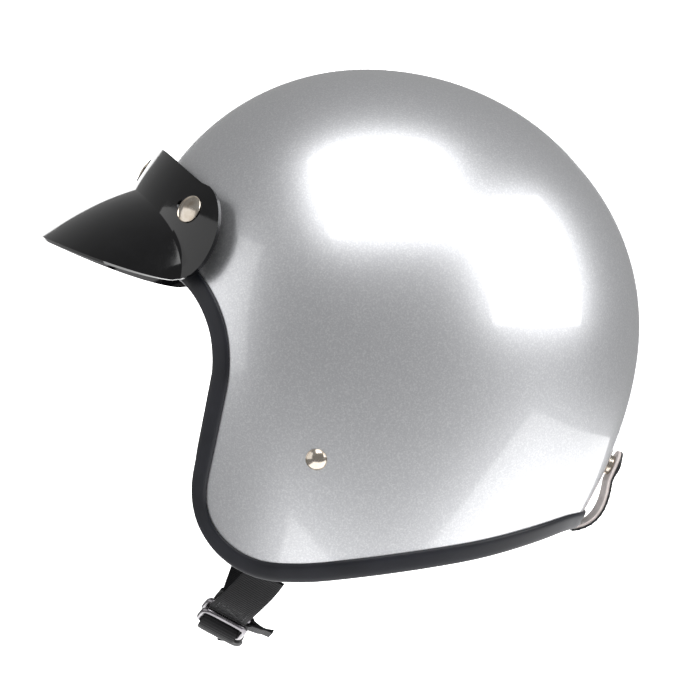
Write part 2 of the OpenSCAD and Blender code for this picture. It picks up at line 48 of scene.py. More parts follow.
# ---- The laminate shell ----
# A hand-laid fibreglass shell, 4 mm thick, sprayed with an aluminium flake base coat and
# then with clear lacquer, polished until it mirrors the room over the soft metallic glow.
shell_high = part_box("shell")[1]
half_width = round(shell_high.x, 3)
crown_height = round(shell_high.z, 3)
back_reach = round(shell_high.y, 3)
front_reach = 0.131
shell_t, edge_inset = 4 * mm, 1.6 * mm
side_fullness, front_fullness, back_fullness = 0.25, 0.30, 0.075
brow_z, nape_z = 39 * mm, -105 * mm
# The opening's edge from brow to nape, seen from the side: y, z and corner radius
opening = [(-81, 18.8, 52), (-81, -22, 60), (-91.2, -75, 60), (-91.2, -124, 42),
           (-35, -123.6, 150), (50, -112.8, 400), (96, -103.8, 40)]
half_columns = 120
columns = 2 * half_columns


def narrowing(z, fullness):
    return math.sqrt(max(0.0, 1 - z * z / (crown_height ** 2 + fullness * max(0.0, -z))))


def height(h):
    return h if h < 0 else crown_height * math.sin(h / crown_height)


def along_curve(z):
    return z if z < 0 else crown_height * math.asin(min(1.0, z / crown_height))


def skin(a, h):
    """The point of the outer skin at bearing a, -90 degrees in front, and at h up its curve."""
    z = height(h)
    front = front_reach * narrowing(z, front_fullness)
    back = back_reach * narrowing(z, back_fullness)
    s = math.sin(a)
    return Vector((half_width * narrowing(z, side_fullness) * math.cos(a),
                   (back + front) / 2 * s + (back - front) / 2 * s * s, z))


def outward(a, h):
    if h > along_curve(crown_height) - 1e-5:
        return Vector((0, 0, 1))
    da, dh = 0.003, 0.0002
    return (skin(a + da, h) - skin(a - da, h)).cross(skin(a, h + dh) - skin(a, h - dh)).normalized()


def at_depth(a, h, depth):
    return skin(a, h) - outward(a, h) * depth


def bearing(y, z):
    front = front_reach * narrowing(z, front_fullness)
    back = back_reach * narrowing(z, back_fullness)
    mean, lean = (back + front) / 2, (back - front) / 2
    return math.asin(max(-1, min(1, 2 * y / (mean + math.sqrt(max(0, mean ** 2 + 4 * lean * y))))))


def rim(inset):
    """Bearing and curve height along the opening's edge, moved in by inset, evenly spaced."""
    def turned(v):
        return Vector((-v.y, v.x))
    top, bottom = brow_z + 1.1 * inset, nape_z + inset
    corners = [Vector((-front_reach * narrowing(brow_z, 1), brow_z))]
    corners += [Vector((y, z)) * mm for y, z, r in opening]
    corners += [Vector((back_reach * narrowing(nape_z, back_fullness), nape_z))]
    moved, radii = [Vector((-front_reach * narrowing(top, 1), top))], [0]
    for i in range(1, len(corners) - 1):
        p, q, s = corners[i - 1:i + 2]
        u, v = turned((q - p).normalized()), turned((s - q).normalized())
        side = 1 if (q - p).cross(s - q) > 0 else -1
        moved.append(q + inset * (u + v) / (1 + u.dot(v)))
        radii.append(max(4 * mm, opening[i - 1][2] * mm - side * inset))
    moved.append(Vector((back_reach * narrowing(bottom, back_fullness), bottom)))
    line = [moved[0]]
    for i in range(1, len(moved) - 1):
        p, q, s, r = moved[i - 1], moved[i], moved[i + 1], radii[i]
        u, v = (p - q).normalized(), (s - q).normalized()
        half = u.angle(v) / 2
        centre = q + (u + v).normalized() * r / math.sin(half)
        first = q + u * r / math.tan(half) - centre
        sweep = (math.pi - 2 * half) * (1 if (q - p).cross(s - q) > 0 else -1)
        line += [centre + Matrix.Rotation(sweep * j / 12, 2) @ first for j in range(13)]
    line.append(moved[-1])
    fine = [p.lerp(q, j / 8) for p, q in zip(line, line[1:]) for j in range(8)] + [line[-1]]
    places = [(bearing(p.x, p.y), along_curve(p.y)) for p in fine]
    places[0], places[-1] = (-math.pi / 2, places[0][1]), (math.pi / 2, places[-1][1])
    run = [0.0]
    for p, q in zip(places, places[1:]):
        run.append(run[-1] + (skin(*q) - skin(*p)).length)
    half_rim, j = [], 0
    for k in range(half_columns + 1):
        t = run[-1] * k / half_columns
        while j < len(run) - 2 and run[j + 1] < t:
            j += 1
        f = (t - run[j]) / (run[j + 1] - run[j])
        half_rim.append(tuple(places[j][c] + (places[j + 1][c] - places[j][c]) * f for c in (0, 1)))
    return half_rim + [(math.pi - a, h) for a, h in half_rim[-2:0:-1]]


def towards_crown(edge, k, v):
    """The place a part v of the way from column k of an edge up to the crown."""
    k %= columns
    a, h = edge[k]
    s = k / half_columns if k <= half_columns else (columns - k) / half_columns
    upright = -math.pi / 2 + math.pi * (s + 0.7 * s * (1 - s) ** 2)
    upright = upright if k <= half_columns else math.pi - upright
    return a + (upright - a) * (1 - (1 - v) ** 3), h + (along_curve(crown_height) - h) * v


def pick(*pieces):
    bpy.ops.object.select_all(action="DESELECT")
    for piece in pieces:
        piece.select_set(True)
    bpy.context.view_layer.objects.active = pieces[0]


def lay(name, across, along, place, seam=False):
    """A flat grid laid onto a curved form: place(u, v) says where each of its points goes."""
    bpy.ops.object.select_all(action="DESELECT")
    bpy.ops.mesh.primitive_grid_add(x_subdivisions=across, y_subdivisions=along, size=1, calc_uvs=True)
    piece = bpy.context.object
    piece.name = piece.data.name = name
    for point in piece.data.vertices:
        u, v = point.co.x + 0.5, point.co.y + 0.5
        point.co = place(round(u * across) / across, round(v * along) / along)
    if seam:
        close_up()
    return piece


def close_up(threshold=2e-6):
    """Merges the active piece's seams and poles and turns its faces outwards."""
    bpy.ops.object.mode_set(mode="EDIT")
    bpy.ops.mesh.select_all(action="SELECT")
    bpy.ops.mesh.remove_doubles(threshold=threshold)
    bpy.ops.mesh.normals_make_consistent(inside=False)
    bpy.ops.object.mode_set(mode="OBJECT")


def face_away(piece, middle=Vector((0, 0, 0))):
    """Turns an open sheet's faces away from a point inside it."""
    lean = sum((face.center - middle).dot(face.normal) * face.area for face in piece.data.polygons)
    if lean < 0:
        piece.data.flip_normals()


def finish(piece, angle=35, **modifiers):
    """Adds modifiers by name, applies them in turn and smooths the faces between sharp edges."""
    pick(piece)
    for kind, settings in modifiers.items():
        modifier = piece.modifiers.new(kind, kind.upper())
        for key, value in settings.items():
            setattr(modifier, key, value)
        bpy.ops.object.modifier_apply(modifier=modifier.name)
    bpy.ops.object.shade_smooth_by_angle(angle=math.radians(angle))
    return piece


def linear(code):
    """An sRGB hex colour as the linear colour a shader takes."""
    parts = [int(code[i:i + 2], 16) / 255 for i in (1, 3, 5)]
    return tuple(c / 12.92 if c <= 0.04045 else ((c + 0.055) / 1.055) ** 2.4 for c in parts) + (1.0,)


def add(tree, kind, settings=None, links=None):
    """Adds a shader node, sets its values, sockets and colour stops, and links outputs to it."""
    node = tree.nodes.new("ShaderNode" + kind)
    for key, value in (settings or {}).items():
        if key == "stops":
            for _ in value[2:]:
                node.color_ramp.elements.new(0.5)
            for element, (position, colour) in zip(node.color_ramp.elements, value):
                element.position, element.color = position, colour
        elif isinstance(key, int) or key in node.inputs:
            node.inputs[key].default_value = value
        else:
            setattr(node, key, value)
    for key, output in (links or {}).items():
        tree.links.new(output, node.inputs[key])
    return node


def start(name, **surface):
    """A new material with its surface set, and the object coordinates its patterns read."""
    material = bpy.data.materials.new(name)
    material.use_nodes = True
    tree = material.node_tree
    bsdf = tree.nodes["Principled BSDF"]
    for key, value in surface.items():
        bsdf.inputs[key.replace("_", " ")].default_value = value
    return material, tree, bsdf, {"Vector": add(tree, "TexCoord").outputs["Object"]}


def wire(bsdf, **nodes):
    """Links each node's first output to a socket of the surface."""
    for key, node in nodes.items():
        bsdf.id_data.links.new(node.outputs[0], bsdf.inputs[key.replace("_", " ")])


def silver_lacquer():
    # Aluminium flake base coat under polished clear lacquer. The flakes are about 0.03 mm and
    # are drawn at 0.5 mm, the finest that still shows; they vary in tone and tilt. The lacquer
    # has the faint orange peel of a sprayed finish, about 4 mm from dimple to dimple.
    material, tree, bsdf, here = start("silver_flake_lacquer", Metallic=0.86, Roughness=0.35,
                                       Coat_Weight=1.0, Coat_Roughness=0.06, Coat_IOR=1.6)
    flakes = add(tree, "TexVoronoi", {"Scale": 1 / (0.5 * mm)}, here)
    spread = add(tree, "TexNoise", {"Scale": 1 / (0.9 * mm), "Detail": 2.0}, here)
    tone = add(tree, "Math", {"operation": "MULTIPLY_ADD", 1: 0.5},
               {0: flakes.outputs["Color"], 2: spread.outputs["Fac"]})
    colour = add(tree, "ValToRGB",
                 {"stops": [(0.2, linear("#b9babe")), (0.75, linear("#c3c4c7")), (1.0, linear("#d2d3d5"))]},
                 {"Fac": tone.outputs[0]})
    tilt = add(tree, "Bump", {"Strength": 0.10, "Distance": 0.1 * mm},
               {"Height": flakes.outputs["Distance"]})
    peel = add(tree, "TexNoise", {"Scale": 1 / (4 * mm), "Detail": 1.0}, here)
    dimples = add(tree, "Bump", {"Strength": 0.05, "Distance": 0.05 * mm}, {"Height": peel.outputs["Fac"]})
    wire(bsdf, Base_Color=colour, Normal=tilt, Coat_Normal=dimples)
    return material


edge = rim(0)
shell_edge = rim(edge_inset)
shell = lay("lacquered_shell", columns, 84,
            lambda u, v: at_depth(*towards_crown(shell_edge, round(u * columns), v), 0), seam=True)
face_away(shell)
finish(shell, Solidify={"thickness": shell_t, "offset": -1.0})
shell.data.materials.append(silver_lacquer())
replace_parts(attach(shell, "helmet"), "shell")


# ---- The edge trim ----
# An extruded rubber channel pressed and glued over the shell's edge all the way round, with
# its joint at the nape. Its outer face is rounded, satin and slightly blue-black.
trim_section = [(10, 0.15), (9.95, -0.7), (9.5, -1.3), (8.4, -1.62), (6.5, -1.72), (4, -1.75),
                (2.2, -1.7), (1, -1.35), (0.25, -0.5), (0.02, 0.6), (0, 2), (0.02, 3.4), (0.25, 4.5),
                (1, 5.3), (2.2, 5.62), (5, 5.7), (7.3, 5.66), (7.9, 5.3), (8, 4.7), (7.8, 4.18),
                (5, 4.15), (1.6, 4.15), (1.45, 3.7), (1.45, 0.1), (1.7, -0.12), (5, -0.12)]
skin_radius = 0.14


def by_edge(k, inward, depth):
    """A point near column k of the opening's edge, so far in along the skin and so deep."""
    before, here, after = edge[(k - 1) % columns], edge[k % columns], edge[(k + 1) % columns]
    n = outward(*here)
    across = n.cross(skin(*after) - skin(*before)).normalized()
    return skin(*here) + across * inward - n * (depth + inward ** 2 / (2 * skin_radius))


def trim_rubber():
    # Extruded EPDM with a satin skin: a fine 0.4 mm grain, and a little bloom that greys and
    # dulls it in broad 24 mm patches.
    material, tree, bsdf, here = start("trim_rubber", Specular_IOR_Level=0.25)
    bloom = add(tree, "TexNoise", {"Scale": 1 / (24 * mm), "Detail": 4.0}, here)
    colour = add(tree, "ValToRGB", {"stops": [(0.3, linear("#17181c")), (0.7, linear("#1f2026"))]},
                 {"Fac": bloom.outputs["Fac"]})
    rough = add(tree, "ValToRGB", {"stops": [(0.3, (0.36, 0.36, 0.36, 1)), (0.7, (0.5, 0.5, 0.5, 1))]},
                {"Fac": bloom.outputs["Fac"]})
    grain = add(tree, "TexNoise", {"Scale": 1 / (0.4 * mm), "Detail": 2.0}, here)
    bump = add(tree, "Bump", {"Strength": 0.12, "Distance": 0.1 * mm}, {"Height": grain.outputs["Fac"]})
    wire(bsdf, Base_Color=colour, Roughness=rough, Normal=bump)
    return material


def trim_point(u, v):
    s, d = trim_section[round(v * len(trim_section)) % len(trim_section)]
    return by_edge(round(u * columns), s * mm, d * mm)


trim = lay("rubber_edge_trim", columns, len(trim_section), trim_point, seam=True)
finish(trim, 60, Subsurf={"levels": 1, "render_levels": 1})
trim.data.materials.append(trim_rubber())
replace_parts(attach(trim, "helmet"), "edge_trim")


# ---- The foam liner ----
# Expanded polystyrene moulded in a black bead, about 22 mm thick. It is closed in by the
# shell and the lining, so the plain solid stays and only takes its beaded finish.
def bead_foam():
    # Beads of about 3.5 mm pressed flat against each other, matt, with dark seams between.
    material, tree, bsdf, here = start("black_bead_foam", Roughness=0.85)
    beads = add(tree, "TexVoronoi", {"Scale": 1 / (3.5 * mm), "feature": "DISTANCE_TO_EDGE"}, here)
    colour = add(tree, "ValToRGB", {"stops": [(0.0, linear("#0e0e10")), (0.12, linear("#26262a"))]},
                 {"Fac": beads.outputs["Distance"]})
    bump = add(tree, "Bump", {"Strength": 0.5, "Distance": 0.6 * mm}, {"Height": beads.outputs["Distance"]})
    wire(bsdf, Base_Color=colour, Normal=bump)
    return material


def refinish(node, material):
    """Gives a CAD node its better material, in every slot."""
    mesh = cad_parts[node].data
    mesh.materials.clear()
    mesh.materials.append(material)


refinish("foam_liner", bead_foam())


# ---- The comfort lining ----
# One skin of brushed polyester knit on thin foam, quilted in lengthways channels, that turns
# over the liner's edge and tucks in under the trim.
foam_d, foam_t, lining_gap, lining_reach = 8.2 * mm, 23 * mm, 0.3 * mm, 5 * mm
lining_t = 2 * mm
lining_depth = foam_d + foam_t + lining_gap + lining_reach
channel, quilt_depth = 27 * mm, 2.2 * mm
turn = [(9.0, 6.3), (10.6, 7.4), (11.4, 9.2), (11.5, 14), (11.5, 22), (11.6, 29), (12.1, 33), (13.6, 35.6),
        (16, 36.4)]
rims = {inset: rim(inset * mm) for inset in set(s for s, d in turn)}
lining_rows = 78


def brushed_knit(name, dark, pale):
    # Polyester knit with a brushed nap. Stitches are 1.1 mm across, the nap's
    # 0.3 mm fuzz is drawn at 0.6 mm so that it shows, and the pile lights up at grazing angles.
    material, tree, bsdf, here = start(name, Roughness=0.92, Sheen_Weight=0.35, Sheen_Roughness=0.45)
    wales = add(tree, "TexVoronoi", {"Scale": 1 / (1.1 * mm)}, here)
    nap = add(tree, "TexNoise", {"Scale": 1 / (0.6 * mm), "Detail": 4.0}, here)
    mixed = add(tree, "Math", {"operation": "MULTIPLY_ADD", 1: 0.6},
                {0: wales.outputs["Distance"], 2: nap.outputs["Fac"]})
    colour = add(tree, "ValToRGB", {"stops": [(0.35, linear(dark)), (0.95, linear(pale))]},
                 {"Fac": mixed.outputs[0]})
    bump = add(tree, "Bump", {"Strength": 0.45, "Distance": 0.35 * mm}, {"Height": mixed.outputs[0]})
    wire(bsdf, Base_Color=colour, Normal=bump)
    return material


def lining_point(u, v):
    k, row = round(u * columns), round(v * lining_rows)
    if row < len(turn):
        inset, depth = turn[row]
        return at_depth(*rims[inset][k % columns], depth * mm)
    climb = (row - len(turn) + 1) / (lining_rows - len(turn) + 1)
    place = towards_crown(rims[16], k, climb)
    x = skin(*place).x
    quilt = 1 - abs(math.sin(math.pi * (x / channel + 0.5))) ** 0.5
    faded = min(1.0, climb * 8)
    return at_depth(*place, lining_depth - quilt_depth * quilt * faded)


knit = brushed_knit("brushed_lining_knit", "#1b1b1e", "#3c3c42")
lining = lay("quilted_lining", columns, lining_rows, lining_point, seam=True)
face_away(lining)
finish(lining, 60, Solidify={"thickness": lining_t, "offset": 1.0})
lining.data.materials.append(knit)
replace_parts(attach(lining, "helmet"), "crown_lining", "rim_lining")


# ---- The stuffed pads ----
# Brow, nape and cheek pads: foam in a sewn cover of the same knit, fastened to the lining.
# Each is blown up like a cushion inside its cover, its swelling capped at 1.5 to 3 mm.
def stuffed(name, node, cap, voxel, material):
    """A pad puffed up from its plain solid by a short cloth simulation with pressure."""
    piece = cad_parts[node].copy()
    piece.data = piece.data.copy()
    piece.name = piece.data.name = name
    piece.parent = None
    piece.matrix_world = Matrix()
    bpy.context.collection.objects.link(piece)
    piece.data.materials.clear()
    pick(piece)
    close_up(1e-5)
    remesh = {"mode": "VOXEL", "voxel_size": voxel, "use_smooth_shade": True}
    finish(piece, 80, Remesh=remesh, Smooth={"factor": 0.5, "iterations": 6})
    rest = [v.co.copy() for v in piece.data.vertices]
    cloth = piece.modifiers.new("Cloth", "CLOTH")
    cloth.settings.use_pressure = True
    cloth.settings.uniform_pressure_force = 4
    cloth.settings.effector_weights.gravity = 0
    cloth.settings.tension_stiffness = cloth.settings.compression_stiffness = 12
    cloth.settings.bending_stiffness = 0.4
    cloth.settings.quality = 5
    scene = bpy.context.scene
    for moment in range(1, 21):
        scene.frame_set(moment)
    puffed = piece.evaluated_get(bpy.context.evaluated_depsgraph_get()).data
    moves = [puffed.vertices[i].co - rest[i] for i in range(len(rest))]
    piece.modifiers.remove(cloth)
    for vertex, start_place, move in zip(piece.data.vertices, rest, moves):
        vertex.co = start_place + move * min(1.0, cap / max(1e-9, move.length))
    scene.frame_set(1)
    finish(piece, 80, Subsurf={"levels": 1, "render_levels": 1})
    piece.data.materials.append(material)
    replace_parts(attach(piece, "helmet"), node)
    return piece


pad_knit = brushed_knit("brushed_pad_knit", "#202024", "#46464d")
for pad, cap, voxel in (("brow", 1.5, 1.7), ("nape", 2, 1.9)):
    stuffed(pad + "_cushion", pad + "_pad", cap * mm, voxel * mm, pad_knit)
for side in ("left", "right"):
    stuffed("cheek_cushion_" + side, "cheek_pad_" + side, 3 * mm, 2.6 * mm, pad_knit)


# ---- Rivets, washers and press studs ----
# Turned and stamped small hardware, nickel plated over brass. Chin strap rivets have a domed
# head; the press studs have a base, a neck and a bead that the sockets spring over.
def axes_about(n):
    """The two directions along the skin where n points outward."""
    lean, swing = math.acos(n.z), math.atan2(n.y, n.x)
    east = Vector((math.cos(lean) * math.cos(swing), math.cos(lean) * math.sin(swing), -math.sin(lean)))
    return east, Vector((-math.sin(swing), math.cos(swing), 0))


def seat(a, h):
    """The frame of a fastener that sits on the skin, its Z along the outward direction."""
    n = outward(a, h)
    east, north = axes_about(n)
    return Matrix.Translation(skin(a, h)) @ Matrix((east, north, n)).transposed().to_4x4()


def turned(name, profile, place, material, flip=False):
    """A turned piece: a profile of (radius, height) in mm spun about a seat's Z axis."""
    mirror, spokes = -1 if flip else 1, 56

    def spun(u, v):
        r, z = profile[round(v * (len(profile) - 1))]
        a = 2 * math.pi * round(u * spokes) / spokes
        p = place @ (Vector((r * math.cos(a), r * math.sin(a), z)) * mm)
        return Vector((p.x * mirror, p.y, p.z))
    piece = finish(lay(name, spokes, len(profile) - 1, spun, seam=True), 50)
    piece.data.materials.append(material)
    return piece


def nickel(name, code, rough, tarnish):
    # Bright nickel plate, barrel polished. Fine 0.3 mm rubs vary its gloss, and a warm tarnish
    # gathers in broad 6 mm clouds.
    material, tree, bsdf, here = start(name, Metallic=1.0)
    clouds = add(tree, "TexNoise", {"Scale": 1 / (6 * mm), "Detail": 5.0}, here)
    colour = add(tree, "ValToRGB", {"stops": [(0.3, linear(code)), (0.75, linear(tarnish))]},
                 {"Fac": clouds.outputs["Fac"]})
    rubs = add(tree, "TexNoise", {"Scale": 1 / (0.3 * mm), "Detail": 2.0}, here)
    gloss = add(tree, "ValToRGB",
                {"stops": [(0.35, (rough * 0.7,) * 3 + (1,)), (0.8, (rough * 1.7,) * 3 + (1,))]},
                {"Fac": rubs.outputs["Fac"]})
    bump = add(tree, "Bump", {"Strength": 0.04, "Distance": 0.05 * mm}, {"Height": rubs.outputs["Fac"]})
    wire(bsdf, Base_Color=colour, Roughness=gloss, Normal=bump)
    return material


def domed(radius, rise, foot, bottom):
    """Profile of a cap: a dome, a rolled rim that turns under, a flat back and its shank."""
    ball = (radius ** 2 + rise ** 2) / (2 * rise)
    dome = [(radius * 0.93 * t, foot + rise - ball + math.sqrt(ball ** 2 - (radius * 0.93 * t) ** 2))
            for t in (0.0, 0.15, 0.3, 0.45, 0.6, 0.72, 0.84, 0.93, 1.0)]
    rolled = [(radius * 0.97, foot + 0.52), (radius * 0.995, foot + 0.38), (radius, foot + 0.22),
              (radius * 0.985, foot + 0.08), (radius * 0.95, foot)]
    return dome + rolled + [(bottom[0], foot), bottom, (0.0, bottom[1])]


warm_nickel = nickel("bright_nickel", "#cbc4ba", 0.18, "#ada090")
zinc_steel = nickel("zinc_plated_steel", "#9a9a9c", 0.3, "#7f7d7a")
rivet_place = (bearing(-32 * mm, -63 * mm), along_curve(-63 * mm))
rivet_profile = domed(5.2, 2.4, 0.02, (2.0, -8.0))
stud_profile = [(0, 4.0), (1.2, 3.98), (2.0, 3.8), (2.45, 3.4), (2.5, 3.0), (2.3, 2.6), (1.95, 2.3),
                (1.9, 1.4), (2.3, 1.0), (4.6, 0.85), (5.6, 0.7), (6.0, 0.35), (5.95, 0.02), (2.0, 0.02),
                (2.0, -3.8), (0, -3.8)]
side_snap = (bearing(-85.7 * mm, 52.6 * mm), along_curve(52.6 * mm))
centre_snap = (-math.pi / 2, along_curve(76 * mm))
rear_snap = (math.pi / 2, -73 * mm)
for side, flip in (("left", False), ("right", True)):
    rivet = turned("strap_rivet_" + side + "_head", rivet_profile, seat(*rivet_place), warm_nickel, flip)
    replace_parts(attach(rivet, "helmet"), "strap_rivet_" + side)
    refinish("rivet_washer_" + side, zinc_steel)
studs = [("left", side_snap, False), ("right", side_snap, True), ("centre", centre_snap, False),
         ("rear", rear_snap, False)]
for place_name, place, flip in studs:
    stud = turned("press_stud_" + place_name, stud_profile, seat(*place), warm_nickel, flip)
    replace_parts(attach(stud, "helmet"), "snap_stud_" + place_name)


# ---- The visor ----
# A peak and flange injection moulded in one piece from gloss black ABS, 2.5 mm thick, held
# off the shell by three press studs. A keyhole slot at each side lets it spring off.
visor_gap, visor_t = 7.5 * mm, 2.5 * mm
flange_top, crease, peak_back = (76, 86, 21.3), (86, 21, 46), (-100, 22, 25)
peak_reach, ear_bulge = 71, 11
flange_rows, peak_rows, visor_columns = 22, 26, 120


def rounding(width, segments, degrees):
    return {"width": width, "segments": segments, "limit_method": "ANGLE",
            "angle_limit": math.radians(degrees), "use_clamp_overlap": True}


def flange_point(t, w, up):
    """A point of the flange: t from -1 at the right ear to 1 at the left, w down its width."""
    s, c = math.sin(math.pi / 2 * abs(t)), math.cos(math.pi / 2 * t)
    top_x, top_z = flange_top[0] * s, flange_top[1] - flange_top[2] * s ** 2.2
    low_x, low_z = crease[0] * s, crease[1] + crease[2] * c
    x = top_x + (low_x - top_x) * w + ear_bulge * (4 * w * (1 - w)) ** 0.6 * abs(t) ** 5
    z = (top_z + (low_z - top_z) * w) * mm
    a = -math.acos(max(-1, min(1, x * mm / (half_width * narrowing(z, side_fullness)))))
    return at_depth(a, along_curve(z), -up)


def peak_point(t, v, up):
    c = max(0.0, math.cos(math.pi / 2 * t))
    root = flange_point(t, 1, up)
    tip = Vector((root.x, (peak_back[0] - peak_reach * c) * mm,
                  (peak_back[1] + peak_back[2] * c ** 1.3) * mm))
    return root + (tip - root) * v + Vector((0, 0, 10 * v * (1 - v) * c * mm))


def visor_point(u, v):
    t, row = 2 * u - 1, round(v * (flange_rows + peak_rows))
    up = visor_gap + visor_t
    if row <= flange_rows:
        p = flange_point(t, row / flange_rows, up)
    else:
        p = peak_point(t, (row - flange_rows) / peak_rows, up)
    return Vector((-p.x if t < 0 else p.x, p.y, p.z))


def gloss_black():
    # ABS moulded against a polished tool: deep black, mirror gloss, with the faint 12 mm
    # waviness of a moulding and a veil of handling marks that dulls it here and there.
    material, tree, bsdf, here = start("gloss_black_abs", Specular_IOR_Level=0.42)
    haze = add(tree, "TexNoise", {"Scale": 1 / (9 * mm), "Detail": 6.0, "Roughness": 0.7}, here)
    colour = add(tree, "ValToRGB", {"stops": [(0.35, linear("#070708")), (0.75, linear("#0d0d0f"))]},
                 {"Fac": haze.outputs["Fac"]})
    gloss = add(tree, "ValToRGB", {"stops": [(0.4, (0.05, 0.05, 0.05, 1)), (0.8, (0.16, 0.16, 0.16, 1))]},
                {"Fac": haze.outputs["Fac"]})
    wave = add(tree, "TexNoise", {"Scale": 1 / (12 * mm), "Detail": 0.0}, here)
    bump = add(tree, "Bump", {"Strength": 0.12, "Distance": 0.3 * mm}, {"Height": wave.outputs["Fac"]})
    wire(bsdf, Base_Color=colour, Roughness=gloss, Normal=bump)
    return material


def heading(n, v):
    """The turn, about the outward direction n, that points a seat's X along v."""
    east, north = axes_about(n)
    return math.atan2(v.dot(north), v.dot(east))


visor = lay("gloss_black_visor", visor_columns, flange_rows + peak_rows, visor_point)
face_away(visor, Vector((0, 0, -0.05)))
finish(visor, Solidify={"thickness": visor_t, "offset": -1.0, "use_even_offset": True})
slot_way = heading(outward(*side_snap), Vector((0, -0.85, 0.53)))
for place, flip, slot_len in ((side_snap, 1, 8), (side_snap, -1, 8), (centre_snap, 1, 0)):
    bpy.ops.object.select_all(action="DESELECT")
    bpy.ops.mesh.primitive_cylinder_add(vertices=32, radius=2.3 * mm, depth=12 * mm)
    cutter = bpy.context.object
    for point in cutter.data.vertices:
        if point.co.x > 0.1 * mm:
            point.co.x += slot_len * mm
    turn_in = Matrix.Rotation(slot_way if slot_len else 0, 4, "Z")
    cutter.data.transform(Matrix.Scale(flip, 4, (1, 0, 0)) @ seat(*place)
                          @ Matrix.Translation((0, 0, visor_gap + visor_t / 2)) @ turn_in)
    if flip < 0:
        cutter.data.flip_normals()
    finish(visor, Boolean={"object": cutter, "operation": "DIFFERENCE", "solver": "EXACT"})
    bpy.data.objects.remove(cutter)
finish(visor, 40, Bevel=rounding(0.55 * mm, 3, 50))
visor.data.materials.append(gloss_black())
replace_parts(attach(visor, "visor"), "visor")

# Its caps are riveted through the sheet into spring sockets that grip the studs.
cap_foot = visor_gap + visor_t + 0.05 * mm
cap_profile = domed(7.1, 1.7, cap_foot / mm, (2.1, 6.4))
socket_profile = [(2.2, 7.2), (3.4, 7.2), (3.6, 6.9), (3.6, 5.2), (3.9, 4.9), (5.2, 4.75), (5.55, 4.4),
                  (5.6, 3.6), (5.6, 2.0), (5.5, 1.6), (5.1, 1.4), (3.3, 1.4), (3.0, 1.6), (2.9, 2.1),
                  (3.0, 3.0), (3.0, 5.3), (2.2, 5.4), (2.2, 7.2)]
for place_name, place, flip in studs[:3]:
    cap = turned("visor_cap_" + place_name + "_dome", cap_profile, seat(*place), warm_nickel, flip)
    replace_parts(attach(cap, "visor"), "visor_cap_" + place_name)
    socket = turned("visor_socket_" + place_name + "_ring", socket_profile, seat(*place), zinc_steel, flip)
    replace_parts(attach(socket, "visor"), "visor_socket_" + place_name)


# ---- The webbing ----
# Flat polyester webbing, 20 mm wide. Its ribs run across as raised weft bars 1.3 mm apart,
# its two edges are woven tighter, and its ends are folded and box stitched.
def curve_through(points, steps):
    """A smooth run of points through the given ones."""
    line = []
    for i in range(len(points) - 1):
        p0, p1, p2 = points[max(0, i - 1)], points[i], points[i + 1]
        p3 = points[min(len(points) - 1, i + 2)]
        for j in range(steps):
            t = j / steps
            line.append(0.5 * ((2 * p1) + (p2 - p0) * t + (2 * p0 - 5 * p1 + 4 * p2 - p3) * t * t
                               + (3 * p1 - p0 - 3 * p2 + p3) * t ** 3))
    return line + [points[-1]]


def bezier(a, b, c, d, n):
    return [a * (1 - t) ** 3 + 3 * b * t * (1 - t) ** 2 + 3 * c * t * t * (1 - t) + d * t ** 3
            for t in [i / n for i in range(n + 1)]]


def evenly(points, sides, step):
    """The same run resampled every step along its length, with its width directions."""
    run = [0.0]
    for p, q in zip(points, points[1:]):
        run.append(run[-1] + (q - p).length)
    count = max(2, round(run[-1] / step))
    line, across, j = [], [], 0
    for i in range(count + 1):
        t = run[-1] * i / count
        while j < len(run) - 2 and run[j + 1] < t:
            j += 1
        f = (t - run[j]) / max(1e-9, run[j + 1] - run[j])
        line.append(points[j].lerp(points[j + 1], f))
        across.append(sides[j].lerp(sides[j + 1], f).normalized())
    return line, across


def strap(name, points, sides, width, thick, material, rib=1.3 * mm, ribs=0.16 * mm, round_in=0.0):
    """A flat strap along a run of points, with raised ribs across it and rolled edges."""
    line, across = evenly(points, sides, rib / 4)
    last, cells = len(line) - 1, 16

    def woven(u, v):
        i = round(v * last)
        way = (line[min(last, i + 1)] - line[max(0, i - 1)]).normalized()
        e = 2 * u - 1
        lean = across[i] * (width / 2) * math.copysign(abs(e) ** 0.92, e)
        raised = ribs * (0.5 + 0.5 * math.cos(math.pi * i / 2)) * (1 - abs(e) ** 8)
        face = way.cross(across[i]).normalized()
        into = max(0.0, 1 - (last - i) * rib / 4 / round_in) if round_in else 0.0
        return line[i] + lean * math.sqrt(max(0.01, 1 - into ** 2.5)) + face * raised
    piece = lay(name, cells, last, woven)
    finish(piece, 60, Solidify={"thickness": thick - ribs, "offset": 0.0, "use_even_offset": True},
           Bevel=rounding(0.35 * mm, 2, 60))
    for loop in piece.data.loops:
        uv = piece.data.uv_layers.active.data[loop.index].uv
        uv.x, uv.y = uv.x * width / mm, uv.y * last * rib / 4 / mm
    piece.data.materials.append(material)
    return piece


